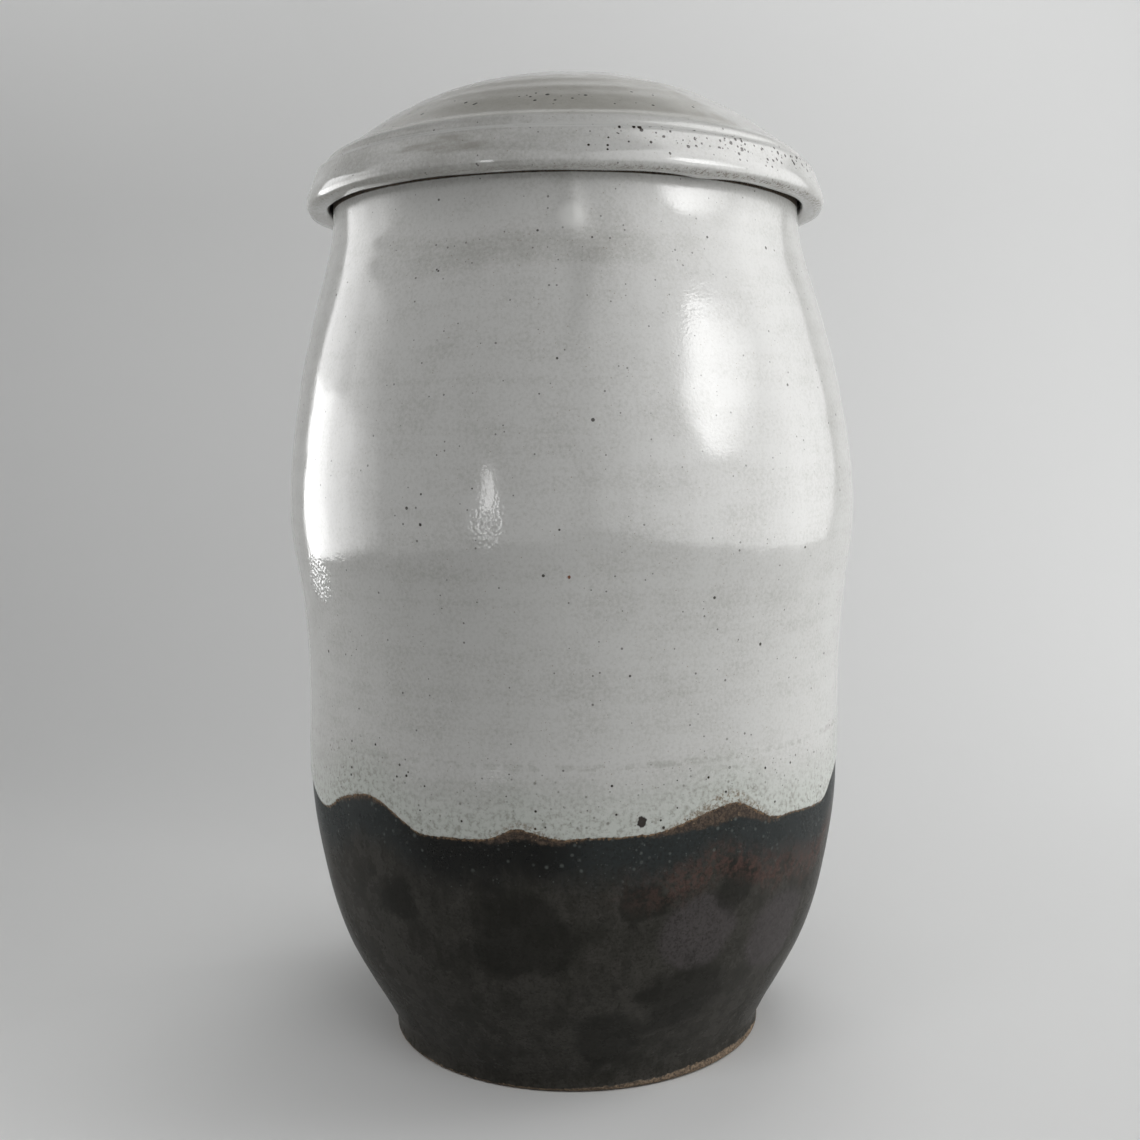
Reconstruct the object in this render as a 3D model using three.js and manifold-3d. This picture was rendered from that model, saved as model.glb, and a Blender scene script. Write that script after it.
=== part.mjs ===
// A hand-thrown stoneware crock fermenter: a barrel-shaped crock with a water moat round its
// mouth, a domed lid whose skirt stands in the moat, and two half-moon weights inside.
// Millimetres, +Z up, origin at the middle of the foot, on the surface it stands on.
import * as THREE from "three";
import { mergeVertices } from "three/addons/utils/BufferGeometryUtils.js";
import Module from "manifold-3d";

// ---------------------------------------------------------------- driving dimensions

const SEGMENTS = 60; // facets round each turned piece

// Crock: the outer wall from foot to collar, as [radius, height]
const OUTER_WALL = [
  [65.6, 1],
  [65.2, 4.5],
  [67.6, 10.5],
  [74, 21],
  [84, 41],
  [89.6, 64],
  [93.3, 90],
  [92.8, 120],
  [94, 152],
  [98, 180],
  [96.3, 206],
  [90.5, 239],
  [83, 265],
  [80, 277],
  [79.4, 289],
];
const OUTER_WALL_STEPS = 22;
const FOOT_RADIUS = 64.9; // of the ring it stands on, inside a small chamfer
const FOOT_RING_WIDTH = 8;
const FOOT_RECESS = 2; // depth of the hollow inside the ring, and the run of its slope
const WALL = 7.5;
const FLOOR = 9; // height of the inside floor
const FLOOR_RADIUS = 56; // flat part of the inside floor
const FLOOR_FILLET = [5, 2.5]; // run and rise of the first step up from the floor

// Collar, water moat and mouth
const COLLAR_TOP = 295;
const COLLAR_RADIUS = 79.4;
const COLLAR_WALL = 5.4;
const MOAT_WIDTH = 12;
const MOAT_FLOOR = 270;
const MOAT_FILLET = 3;
const MOUTH_TOP = 297;
const MOUTH_WALL = 5;
const SHELF = 8; // clay under the moat's floor
const SHOULDER = 251; // where the inside starts to close in under the moat
const COVE_TURN = [3, 8]; // how far in from the wall the cove turns, low down and at the shelf
const SHELF_SLOPE = [2, 1]; // run and rise from the shelf's underside to the mouth
const MOUTH_FOOT = 3; // upright foot of the mouth's wall
const mouthRadius = COLLAR_RADIUS - COLLAR_WALL - MOAT_WIDTH - MOUTH_WALL;

// Lid, measured from the bottom of its outer lip
const LIP_HEIGHT = 285.8; // of that lip above the foot when the lid is on
const LID_RADIUS = 88.8;
const LIP_WIDTH = 7.7;
const LIP_ROUND = 2; // rounding of the lip's outer edge
const BAND_WIDTH = 12; // of the thick outer band, seen from above
const BAND_HEIGHT = 18.2;
const BAND_SWELL = [3.3, 17]; // the band's bulge: in from the outer edge, up from the lip
const DOME_RISE = 26;
const DOME_STEPS = 8;
const DOME_POWER = 2.4; // 2 would be a parabola; more is flatter on top
const LID_WALL = 7.5;
const CHANNEL_HEIGHT = 11.4; // of the channel that takes the collar
const CHANNEL_FILLET = 3;
const HOLLOW_FILLET = [4, 2]; // run and rise between the skirt and the hollow under the dome
const SKIRT_RADIUS = 70.5;
const SKIRT_WALL = 5;
const CLEARANCE = 0.3; // under the skirt, where it stands on the moat's floor
const GAS_NOTCHES = 3;
const NOTCH_RADIUS = 4;
const NOTCH_LENGTH = 12.5; // of the cutter, right through the skirt

// Weights: two half-moons that lie side by side as a disc
const WEIGHT_RADIUS = 78;
const WEIGHT_THICKNESS = 18;
const WEIGHT_EDGE = 2; // rounding of the edges
const WEIGHT_CORNER = 7; // rounding of the corners in plan
const WEIGHT_GAP = 2; // between the two straight sides
const WEIGHT_WALL_GAP = 0.8; // to the crock where they rest on its narrowing wall
const FINGER_HOLE_RADIUS = 11;
const FINGER_HOLE_FROM_SPLIT = 33;

// ---------------------------------------------------------------- helpers

const wasm = await Module();
wasm.setup();

const point = (r, z) => new THREE.Vector2(r, z);

// Points on the quarter turn from one corner of a rounded edge to the other.
function roundedCorner(centreR, centreZ, radius, fromDeg, toDeg, steps = 2) {
  return Array.from({ length: steps + 1 }, (_, i) => {
    const a = THREE.MathUtils.degToRad(fromDeg + ((toDeg - fromDeg) * i) / steps);
    return point(centreR + radius * Math.cos(a), centreZ + radius * Math.sin(a));
  });
}

// A profile, as [radius, height] points from axis to axis, turned about +Z.
function turned(profile) {
  return new THREE.LatheGeometry(profile, SEGMENTS).rotateX(Math.PI / 2);
}

// A closed geometry as a manifold-3d solid.
function solidOf(geometry) {
  const plain = geometry.clone();
  plain.deleteAttribute("normal");
  plain.deleteAttribute("uv");
  const merged = mergeVertices(plain, 1e-3);
  return new wasm.Manifold(
    new wasm.Mesh({
      numProp: 3,
      vertProperties: merged.attributes.position.array,
      triVerts: new Uint32Array(merged.index.array),
    }),
  );
}

// The geometry with each cutter taken away.
function cut(geometry, cutters) {
  let solid = solidOf(geometry);
  for (const cutter of cutters) solid = solid.subtract(solidOf(cutter));
  const mesh = solid.getMesh();
  const made = new THREE.BufferGeometry();
  made.setAttribute("position", new THREE.BufferAttribute(mesh.vertProperties, 3));
  made.setIndex(new THREE.BufferAttribute(mesh.triVerts, 1));
  made.computeVertexNormals();
  return made;
}

// ---------------------------------------------------------------- crock

const outerCurve = new THREE.SplineCurve(OUTER_WALL.map(([r, z]) => point(r, z)));

// The inside wall: the outer curve moved in by the wall's thickness, from low to high.
function innerWall() {
  return Array.from({ length: OUTER_WALL_STEPS + 1 }, (_, i) => {
    const u = i / OUTER_WALL_STEPS;
    const p = outerCurve.getPoint(u);
    const t = outerCurve.getTangent(u);
    return point(p.x - t.y * WALL, p.y + t.x * WALL);
  }).filter((p) => p.y > FLOOR + 2 * FLOOR_FILLET[1] && p.y < SHOULDER);
}

// The inside closes in under the moat along a smooth cove, which ends at the mouth.
function coveUnderMoat(shoulder) {
  const underside = MOAT_FLOOR - SHELF;
  const upTheWall = point(shoulder.x - COVE_TURN[0], underside - SHELF_SLOPE[1]);
  const alongTheShelf = point(shoulder.x - COVE_TURN[1], underside);
  const end = point(mouthRadius + SHELF_SLOPE[0], underside + SHELF_SLOPE[1]);
  return new THREE.CubicBezierCurve(shoulder, upTheWall, alongTheShelf, end).getPoints(6);
}

function crockProfile() {
  const moatOuter = COLLAR_RADIUS - COLLAR_WALL;
  const moatInner = moatOuter - MOAT_WIDTH;
  const collarLip = COLLAR_WALL / 2;
  const mouthLip = MOUTH_WALL / 2;
  const footInner = FOOT_RADIUS - FOOT_RING_WIDTH;
  const moatCorner = MOAT_FLOOR + MOAT_FILLET;
  const inner = innerWall().reverse();
  const cove = coveUnderMoat(inner[0]).reverse();
  return [
    point(0, FOOT_RECESS),
    point(footInner - FOOT_RECESS, FOOT_RECESS),
    point(footInner, 0),
    point(FOOT_RADIUS, 0),
    ...outerCurve.getPoints(OUTER_WALL_STEPS),
    ...roundedCorner(moatOuter + collarLip, COLLAR_TOP - collarLip, collarLip, 0, 180, 4),
    ...roundedCorner(moatOuter - MOAT_FILLET, moatCorner, MOAT_FILLET, 0, -90),
    ...roundedCorner(moatInner + MOAT_FILLET, moatCorner, MOAT_FILLET, -90, -180),
    ...roundedCorner(mouthRadius + mouthLip, MOUTH_TOP - mouthLip, mouthLip, 0, 180, 4),
    point(mouthRadius, cove[0].y + MOUTH_FOOT),
    ...cove,
    ...inner.slice(1),
    point(FLOOR_RADIUS + FLOOR_FILLET[0], FLOOR + FLOOR_FILLET[1]),
    point(FLOOR_RADIUS, FLOOR),
    point(0, FLOOR),
  ];
}

// ---------------------------------------------------------------- lid

const valleyRadius = LID_RADIUS - BAND_WIDTH;
const domeHeight = (r) => BAND_HEIGHT + DOME_RISE * (1 - (r / valleyRadius) ** DOME_POWER);

function lidProfile() {
  const lipInner = LID_RADIUS - LIP_WIDTH;
  const skirtInner = SKIRT_RADIUS - SKIRT_WALL;
  const skirtMiddle = SKIRT_RADIUS - SKIRT_WALL / 2;
  const skirtEnd = MOAT_FLOOR + CLEARANCE + SKIRT_WALL / 2 - LIP_HEIGHT;
  const channelCorner = CHANNEL_HEIGHT - CHANNEL_FILLET;
  const dome = Array.from({ length: DOME_STEPS + 1 }, (_, i) => {
    const r = (valleyRadius * i) / DOME_STEPS;
    return point(r, domeHeight(r));
  });
  const underside = dome
    .filter((p) => p.x < skirtInner - HOLLOW_FILLET[0])
    .map((p) => point(p.x, p.y - LID_WALL));
  const bandFace = new THREE.QuadraticBezierCurve(
    point(LID_RADIUS, LIP_ROUND),
    point(LID_RADIUS - BAND_SWELL[0], BAND_SWELL[1]),
    dome[DOME_STEPS],
  ).getPoints(6);
  return [
    ...underside,
    point(skirtInner, CHANNEL_HEIGHT + HOLLOW_FILLET[1]),
    ...roundedCorner(skirtMiddle, skirtEnd, SKIRT_WALL / 2, 180, 360, 4),
    ...roundedCorner(SKIRT_RADIUS + CHANNEL_FILLET, channelCorner, CHANNEL_FILLET, 180, 90),
    ...roundedCorner(lipInner - CHANNEL_FILLET, channelCorner, CHANNEL_FILLET, 90, 0),
    ...roundedCorner(lipInner + LIP_ROUND / 2, LIP_ROUND / 2, LIP_ROUND / 2, 180, 270, 1),
    ...roundedCorner(LID_RADIUS - LIP_ROUND, LIP_ROUND, LIP_ROUND, -90, 0),
    ...bandFace.slice(1),
    ...dome.reverse().slice(1),
  ];
}

// A short round bar that lies across the skirt's lower edge.
function notchCutter(index) {
  const bar = new THREE.CylinderGeometry(NOTCH_RADIUS, NOTCH_RADIUS, NOTCH_LENGTH, 12);
  bar.rotateZ(Math.PI / 2);
  bar.translate(SKIRT_RADIUS - SKIRT_WALL / 2, 0, MOAT_FLOOR - LIP_HEIGHT);
  return bar.rotateZ((2 * Math.PI * index) / GAS_NOTCHES);
}

// ---------------------------------------------------------------- weights

// Half a disc in plan, on the +X side of the split, with rounded corners and a finger hole.
function halfMoonShape() {
  const radius = WEIGHT_RADIUS - WEIGHT_EDGE;
  const split = WEIGHT_GAP / 2 + WEIGHT_EDGE;
  const cornerX = split + WEIGHT_CORNER;
  const cornerY = Math.sqrt((radius - WEIGHT_CORNER) ** 2 - cornerX ** 2);
  const cornerAngle = Math.atan2(cornerY, cornerX);
  const shape = new THREE.Shape();
  shape.moveTo(split, -cornerY);
  shape.absarc(cornerX, -cornerY, WEIGHT_CORNER, Math.PI, 2 * Math.PI - cornerAngle, false);
  shape.absarc(0, 0, radius, -cornerAngle, cornerAngle, false);
  shape.absarc(cornerX, cornerY, WEIGHT_CORNER, cornerAngle, Math.PI, false);
  const hole = new THREE.Path();
  hole.absarc(FINGER_HOLE_FROM_SPLIT, 0, FINGER_HOLE_RADIUS + WEIGHT_EDGE, 0, 2 * Math.PI, true);
  shape.holes.push(hole);
  return shape;
}

function halfMoon() {
  const slab = new THREE.ExtrudeGeometry(halfMoonShape(), {
    depth: WEIGHT_THICKNESS - 2 * WEIGHT_EDGE,
    bevelThickness: WEIGHT_EDGE,
    bevelSize: WEIGHT_EDGE,
    bevelSegments: 1,
    curveSegments: 12,
  });
  return slab.translate(0, 0, WEIGHT_EDGE);
}

// The lowest height at which the disc of weights fits inside the narrowing wall.
function weightRestHeight() {
  const needed = WEIGHT_RADIUS + WEIGHT_WALL_GAP;
  const wall = innerWall();
  const i = wall.findIndex((p) => p.x > needed);
  const share = (needed - wall[i - 1].x) / (wall[i].x - wall[i - 1].x);
  return wall[i - 1].y + share * (wall[i].y - wall[i - 1].y);
}

// ---------------------------------------------------------------- materials and scene

const whiteGlaze = new THREE.MeshStandardMaterial({
  color: new THREE.Color(0.72, 0.72, 0.69),
  roughness: 0.22,
  metalness: 0,
});
const lidGlaze = whiteGlaze.clone();
const weightGlaze = new THREE.MeshStandardMaterial({
  color: new THREE.Color(0.66, 0.65, 0.6),
  roughness: 0.35,
  metalness: 0,
});

function piece(name, geometry, material, height = 0, turn = 0) {
  const mesh = new THREE.Mesh(geometry, material);
  mesh.name = name;
  mesh.position.z = height;
  mesh.rotation.z = turn;
  return mesh;
}

const notches = Array.from({ length: GAS_NOTCHES }, (_, i) => notchCutter(i));
const weights = new THREE.Group();
weights.position.z = weightRestHeight();
weights.add(
  piece("weight_right", halfMoon(), weightGlaze),
  piece("weight_left", halfMoon(), weightGlaze.clone(), 0, Math.PI),
);

const crockFermenter = new THREE.Group();
crockFermenter.add(
  piece("crock", turned(crockProfile()), whiteGlaze),
  weights,
  piece("lid", cut(turned(lidProfile()), notches), lidGlaze, LIP_HEIGHT),
);

export default crockFermenter;
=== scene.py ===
"""The looks of a hand-thrown ceramic crock fermenter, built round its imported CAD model.

The crock and the lid are turned again from the CAD sections as fine meshes, with the marks of
the potter's hands, the thick edge of the dipped glaze, a drip and a chip in their geometry. The
weights are smoothed copies of their CAD nodes. Glazes and clay are procedural materials.
The object's lengths are in millimetres up to the moment a mesh is made, and the studio's are in
metres. Angles are in degrees round the axis, 0 at the front and positive to the right.
"""
import math

import bmesh
import bpy
import numpy as np
from mathutils import Matrix, Vector


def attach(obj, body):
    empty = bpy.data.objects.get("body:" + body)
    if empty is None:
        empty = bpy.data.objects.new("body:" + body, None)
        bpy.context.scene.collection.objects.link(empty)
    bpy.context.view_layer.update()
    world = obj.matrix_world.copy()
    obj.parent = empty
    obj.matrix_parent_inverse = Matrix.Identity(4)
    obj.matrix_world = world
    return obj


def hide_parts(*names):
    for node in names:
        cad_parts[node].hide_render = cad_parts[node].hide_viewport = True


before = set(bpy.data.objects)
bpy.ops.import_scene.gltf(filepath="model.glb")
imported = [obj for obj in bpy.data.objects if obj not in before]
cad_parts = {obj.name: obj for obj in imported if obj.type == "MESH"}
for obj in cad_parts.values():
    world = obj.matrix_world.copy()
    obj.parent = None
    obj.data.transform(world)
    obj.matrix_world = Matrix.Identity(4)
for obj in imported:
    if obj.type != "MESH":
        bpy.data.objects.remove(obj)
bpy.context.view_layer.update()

MM = 0.001
COLUMNS = 320  # facets round the crock and the lid
CAD_FACETS = 60  # facets round the CAD model's turned pieces
FACET_MIDDLE = 180 / CAD_FACETS  # angle of the middle of a facet
CROCK_SLICE = FACET_MIDDLE  # angle at which the crock's CAD section is taken
LID_SLICE = 60 + FACET_MIDDLE  # and the lid's, clear of the gas notches

UNDERSIDE, OUTER_WALL, INSIDE = -1, 0, 1  # zones of the crock's surface

# ------------------------------------------------------------------ features, by angle and height

# The wavy line where the white glaze ends over the dark one, as (angle, height)
GLAZE_LINE = [
    (-180, 92), (-163, 88.5), (-148, 94), (-131, 90), (-112, 87.5), (-97, 92.5), (-84, 96),
    (-74, 94.5), (-66, 90), (-60, 90), (-53.5, 95), (-48, 97.8), (-43.5, 99), (-40, 98), (-34, 93),
    (-30.5, 90.3), (-25, 90.2), (-19, 90.4), (-15, 91.3), (-10.8, 94.2), (-7.5, 93.2), (-4.5, 91.6),
    (3, 91.6), (10, 91.5), (16, 92.1), (21.5, 94.6), (27, 97.1), (32, 98), (36, 95), (41, 91),
    (48, 90.4), (56, 89.4), (62, 89.8), (66, 93.5), (74, 98.5), (86, 96.5), (101, 90), (118, 93.5),
    (134, 88.6), (150, 91), (166, 95.5),
]
# Where bare rust-coloured clay shows widest along that line, as (angle, width)
RUST_CRESTS = [
    (-50, 1.1), (-41, 1.2), (-11, 2.8), (-3, 1.0), (21, 2.0), (29, 4.2), (37, 2.0), (75, 1.8),
    (-148, 2.0), (118, 2.2), (166, 1.8),
]
CLAY_STRIP = (1.1, 1.9, 44, 34)  # at the foot: height, more height, angle and spread of the rise
DRIP = (1.1, 272.5, 292, 3.9, 0.95)  # angle, height of the drop, top, half width, thickness
WALL_TOP = 292  # where the outer wall turns over into the collar's edge
NECK_LINE = 263.5  # height of the groove at the neck
DIP_LINE = 112.5  # height of the faint line that the first dip of white glaze left
# Painted shade: the crock's material paints this bare clay nearly black, as the shade in the gap
# under the lid's lip.
GALLERY = (71, 285.3)  # radius and height past which the crock's collar is unglazed
SHOULDER = 262  # height above which the inner surface is the collar's, moat's and mouth's
GIRTH = 560  # distance round the belly
RIDGE = (85.2, 11.8)  # radius of the ridge on the lid's band and its height above the lip
SKIRT_OUTSIDE = 70.5  # radius of the lid's skirt
CHANNEL_OUTSIDE = 83  # radius where the hollow between the lid's skirt and lip ends
CHIP = (29, 4.5, 0.9)  # in the lid's lip: angle, width in degrees, depth
NOTCH = (4.2, 3.7)  # half width and height of the skirt's three gas notches


# ------------------------------------------------------------------ sections of the CAD nodes

def cad_section(node, turn):
    """A turned CAD node's outline at that angle, from axis to axis, as rows of [radius, height]."""
    cut = bmesh.new()
    cut.from_mesh(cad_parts[node].data)
    bmesh.ops.remove_doubles(cut, verts=cut.verts, dist=1e-6)
    bmesh.ops.rotate(cut, verts=cut.verts, matrix=Matrix.Rotation(math.radians(-turn), 3, "Z"))
    everything = cut.verts[:] + cut.edges[:] + cut.faces[:]
    sliced = bmesh.ops.bisect_plane(
        cut, geom=everything, plane_co=(0, 0, 0), plane_no=(0, 1, 0), dist=1e-7
    )
    edges = [e for e in sliced["geom_cut"] if isinstance(e, bmesh.types.BMEdge)]
    edges = [e for e in edges if sum(v.co.x for v in e.verts) > 1e-6]
    neighbours = {}
    for edge in edges:
        for here, there in (edge.verts, reversed(edge.verts)):
            neighbours.setdefault(here, []).append(there)
    start = min((v for v in neighbours if len(neighbours[v]) == 1), key=lambda v: v.co.z)
    path = [start, neighbours[start][0]]
    while len(neighbours[path[-1]]) == 2:
        before, here = path[-2:]
        path.append(next(v for v in neighbours[here] if v is not before))
    facet = math.cos(math.pi / CAD_FACETS)  # the slice runs through the middle of the facets
    points = np.array([(v.co.x / facet, v.co.z) for v in path]) / MM
    cut.free()
    return drop_straight(points)


def drop_straight(points):
    """The points without those that lie on the line between their neighbours."""
    a, b, c = points[:-2], points[1:-1], points[2:]
    bend = (b - a)[:, 0] * (c - b)[:, 1] - (b - a)[:, 1] * (c - b)[:, 0]
    keep = np.abs(bend) > 1e-3 * np.linalg.norm(c - a, axis=1)
    return np.vstack([points[:1], b[keep], points[-1:]])


def rounded(points, rounds=3):
    """The outline with its corners cut again and again, which makes a smooth curve of it."""
    for _ in range(rounds):
        a, b = points[:-1], points[1:]
        cut = np.stack([a + 0.25 * (b - a), a + 0.75 * (b - a)], axis=1).reshape(-1, 2)
        points = np.vstack([points[:1], cut[1:-1], points[-1:]])
    return points


def spaced(points, step):
    """The outline's stretch with points about step apart."""
    along = np.concatenate([[0], np.cumsum(np.linalg.norm(np.diff(points, axis=0), axis=1))])
    count = max(2, int(round(along[-1] / step)) + 1)
    at = np.linspace(0, along[-1], count)
    return np.stack([np.interp(at, along, points[:, k]) for k in (0, 1)], axis=1)


# ------------------------------------------------------------------ functions of angle and height

angles = np.linspace(-180, 180, COLUMNS, endpoint=False)


def bell(x, centre, width):
    """1 at the centre, falling smoothly to 0 on both sides."""
    return np.exp(-(((x - centre) / width) ** 2))


def step_up(x, low, high):
    """A smooth step from 0, at low, to 1, at high."""
    t = np.clip((x - low) / (high - low), 0, 1)
    return t * t * (3 - 2 * t)


def turn_apart(a, b):
    """The smaller angle from b to a, between -180 and 180."""
    return (a - b + 180) % 360 - 180


def all_round(column):
    """A column of values, one for each row, repeated at every angle."""
    return np.repeat(column[:, None], COLUMNS, axis=1)


def glaze_line(angle):
    """Height of the wavy glaze line: a smooth curve through GLAZE_LINE that closes on itself."""
    knots = np.array(GLAZE_LINE, float)
    x = np.concatenate([knots[:, 0] - 360, knots[:, 0], knots[:, 0] + 360])
    y = np.tile(knots[:, 1], 3)
    slope = np.gradient(y, x)
    i = np.clip(np.searchsorted(x, angle, side="right") - 1, 0, len(x) - 2)
    span = x[i + 1] - x[i]
    t = (angle - x[i]) / span
    return (
        (1 + 2 * t) * (1 - t) ** 2 * y[i] + t * (1 - t) ** 2 * span * slope[i]
        + t * t * (3 - 2 * t) * y[i + 1] + t * t * (t - 1) * span * slope[i + 1]
    )


def wander(angle, height, size, seed, waves=14):
    """Soft random unevenness, -1 to 1, about size across, that closes on itself round the axis."""
    rng = np.random.default_rng(seed)
    total = np.zeros(np.broadcast(angle, height).shape)
    for _ in range(waves):
        round_waves = rng.integers(0, max(2, int(GIRTH / size)))
        up_waves = rng.uniform(-1, 1) * 2 * np.pi / size
        phase = rng.uniform(0, 2 * np.pi)
        total += np.cos(np.radians(angle) * round_waves + height * up_waves + phase)
    return total / np.sqrt(waves / 2) / 2


def throwing_rings(angle, height, pitch):
    """The spiral that a potter's fingers leave, -1 to 1."""
    return np.sin(2 * np.pi * height / pitch + np.radians(angle))


# ------------------------------------------------------------------ turned meshes

def turned_mesh(name, radius, height, fields):
    """A closed mesh from rows of points: radius and height are (rows, COLUMNS) arrays, in mm. The
    first and last rows shrink to points on the axis. fields are named arrays kept as attributes."""
    a = np.radians(angles)
    grid = np.stack([radius * np.sin(a), -radius * np.cos(a), height], axis=-1) * MM
    poles = np.array([[0, 0, height[0].mean()], [0, 0, height[-1].mean()]]) * MM
    points = np.vstack([grid[1:-1].reshape(-1, 3), poles])
    count = len(radius) - 2
    low_pole, high_pole = count * COLUMNS, count * COLUMNS + 1
    i = np.arange(COLUMNS)
    j = (i + 1) % COLUMNS
    faces = [(low_pole, int(q), int(p)) for p, q in zip(i, j)]
    base = (np.arange(count - 1) * COLUMNS)[:, None]
    quads = np.stack([base + i, base + j, base + j + COLUMNS, base + i + COLUMNS], axis=-1)
    faces += quads.reshape(-1, 4).tolist()
    top = (count - 1) * COLUMNS
    faces += [(high_pole, int(top + p), int(top + q)) for p, q in zip(i, j)]
    mesh = bpy.data.meshes.new(name)
    mesh.from_pydata(points, [], faces)
    for key, values in fields.items():
        ends = [values[0].mean(), values[-1].mean()]
        values = np.concatenate([values[1:-1].ravel(), ends])
        attribute = mesh.attributes.new(key, "FLOAT", "POINT")
        attribute.data.foreach_set("value", values.astype(np.float32))
    mesh.shade_smooth()
    piece = bpy.data.objects.new(name, mesh)
    pottery.objects.link(piece)
    return piece


def pushed_out(radius, height, push):
    """The rows moved along the outline's normal, which points out of the clay."""
    dr = np.gradient(radius, axis=0)
    dz = np.gradient(height, axis=0)
    length = np.maximum(np.hypot(dr, dz), 1e-9)
    return radius + push * dz / length, height - push * dr / length


# ------------------------------------------------------------------ crock

def split_crock(outline):
    """The crock's outline as three stretches: underside, outer wall, and collar to inside floor.
    The outer wall ends a little below the collar's edge."""
    foot = np.nonzero(outline[:, 1] < 0.05)[0].max()
    collar = next(i for i in range(foot, len(outline) - 1) if outline[i + 1, 1] < outline[i, 1])
    wall_end = np.nonzero(outline[:collar, 1] < outline[collar, 1] - 3.5)[0].max()
    return outline[: foot + 1], outline[foot : wall_end + 1], outline[wall_end:]


def wall_levels(bottom, top):
    """Heights of the rows up the outer wall, close together where the glaze ends, and the mean
    height of that line."""
    line = np.mean([h for _, h in GLAZE_LINE])
    steps = np.array([-4, -2.6, -1.6, -0.9, -0.45, -0.15, 0.15, 0.45, 0.8, 1.2, 1.8, 2.6, 4])
    foot = np.linspace(bottom, 9, 14)
    below = np.linspace(10, line - 6, 40)
    above = np.linspace(line + 6, top, 92)
    return np.concatenate([foot, below, line + steps, above]), line


def crock_rows():
    """Radius, height and zone of the crock's rows, whose outer wall follows the glaze line."""
    outline = rounded(cad_section("crock", CROCK_SLICE))
    under, wall, inside = split_crock(outline)
    under = spaced(under, 2.2)[:-1]
    levels, line = wall_levels(wall[0, 1], wall[-1, 1])
    follow = 1 - step_up(np.abs(levels - line), 2, 40)
    wave = glaze_line(angles) - line
    wall_height = levels[:, None] + follow[:, None] * wave
    wall_height[[0, -1]] = levels[[0, -1], None]
    wall_radius = np.interp(wall_height, wall[:, 1], wall[:, 0])
    lips = inside[: np.nonzero(inside[:, 1] > outline[:, 1].max() - 40)[0].max() + 1]
    rest = inside[len(lips) - 1 :]
    inner = np.vstack([spaced(lips, 1.35)[1:], spaced(rest, 5)[1:]])
    radius = np.vstack([all_round(under[:, 0]), wall_radius, all_round(inner[:, 0])])
    height = np.vstack([all_round(under[:, 1]), wall_height, all_round(inner[:, 1])])
    zone = np.repeat([UNDERSIDE, OUTER_WALL, INSIDE], [len(under), len(levels), len(inner)])
    return radius, height, all_round(zone)


def clay_line(angle):
    """Height of the bare clay strip at the foot."""
    low, more, centre, spread = CLAY_STRIP
    back = 1.6 * bell(turn_apart(angle, -140), 0, 45)
    uneven = 0.25 * wander(angle, 0, 22, 5)
    return low + more * bell(turn_apart(angle, centre), 0, spread) + back + uneven


def rust_width(angle):
    """How wide the rust-coloured clay shows along the glaze line."""
    width = 0.45 + 0.2 * wander(angle, 0, 25, 6)
    for centre, extra in RUST_CRESTS:
        width = width + extra * bell(turn_apart(angle, centre), 0, 6.5)
    return np.maximum(width, 0.15)


def wall_relief(angle, height):
    """How far the outer wall stands proud of its smooth outline: the potter's rings, the thick
    glaze with its rolled edge, the groove at the neck, the line of the first dip, the foot's bead
    and the drip."""
    above = height - glaze_line(angle)
    rings = throwing_rings(angle, height, 6.5) * (0.010 + 0.012 * bell(height, 140, 34))
    uneven = 0.18 * wander(angle, height, 70, 1) + 0.04 * wander(angle, height, 16, 2)
    glaze = 0.36 * step_up(above, -0.45, 0.4) + 0.07 * bell(above, 1.4, 1.1)
    neck = -0.09 * bell(height, NECK_LINE, 2.0) + 0.03 * bell(height, NECK_LINE + 6, 4)
    tilted_dip = DIP_LINE + 0.7 * np.sin(np.radians(angle + 40))
    dip = -0.1 * bell(height, tilted_dip, 0.9)
    bare = 1 - step_up(height - clay_line(angle), -0.2, 0.5)
    foot = 0.4 * bell(height, 10, 3.5) - 0.2 * bare
    return rings + uneven + glaze + neck + dip + foot + drip_relief(angle, height)


def drip_relief(angle, height):
    """A run of glaze down the collar that ends in a drop."""
    where, drop, top, half, thick = DRIP
    collar_radius = 80
    across = turn_apart(angle, where) * math.pi / 180 * collar_radius
    swell = bell(height, drop, 5.5)
    run = step_up(height, drop - 1, drop + 3) * (1 - step_up(height, top - 10, top))
    trail = 0.6 * run * (1 - swell) * bell(across, 0, 0.6 * half)
    return thick * (swell * bell(across, 0, half) + trail)


def lean(angle, height):
    """The belly is a little fuller on the right than on the left."""
    return 0.9 * np.sin(np.radians(angle)) * bell(height, 170, 60)


def crock_relief(zone, radius, height, angle):
    """How far each zone of the crock stands proud of its smooth outline."""
    wall_ends = step_up(np.minimum(height - 1, WALL_TOP - height), 0, 3)
    wall = wall_relief(angle, height) * wall_ends + lean(angle, height)
    rings = 0.35 * throwing_rings(angle, height, 11) + 0.3 * wander(angle, height, 60, 3)
    rings = rings * step_up(radius, 30, 60)
    lips = 0.12 * wander(angle, height, 40, 4)
    turned_recess = step_up(radius, 2, 8) * (1 - step_up(radius, 50, 53))
    trimming = 0.06 * np.sin(2 * np.pi * radius / 3.2) * turned_recess
    inside = np.where(height < SHOULDER, rings, lips)
    return np.select([zone == UNDERSIDE, zone == OUTER_WALL], [trimming, wall], inside)


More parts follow.
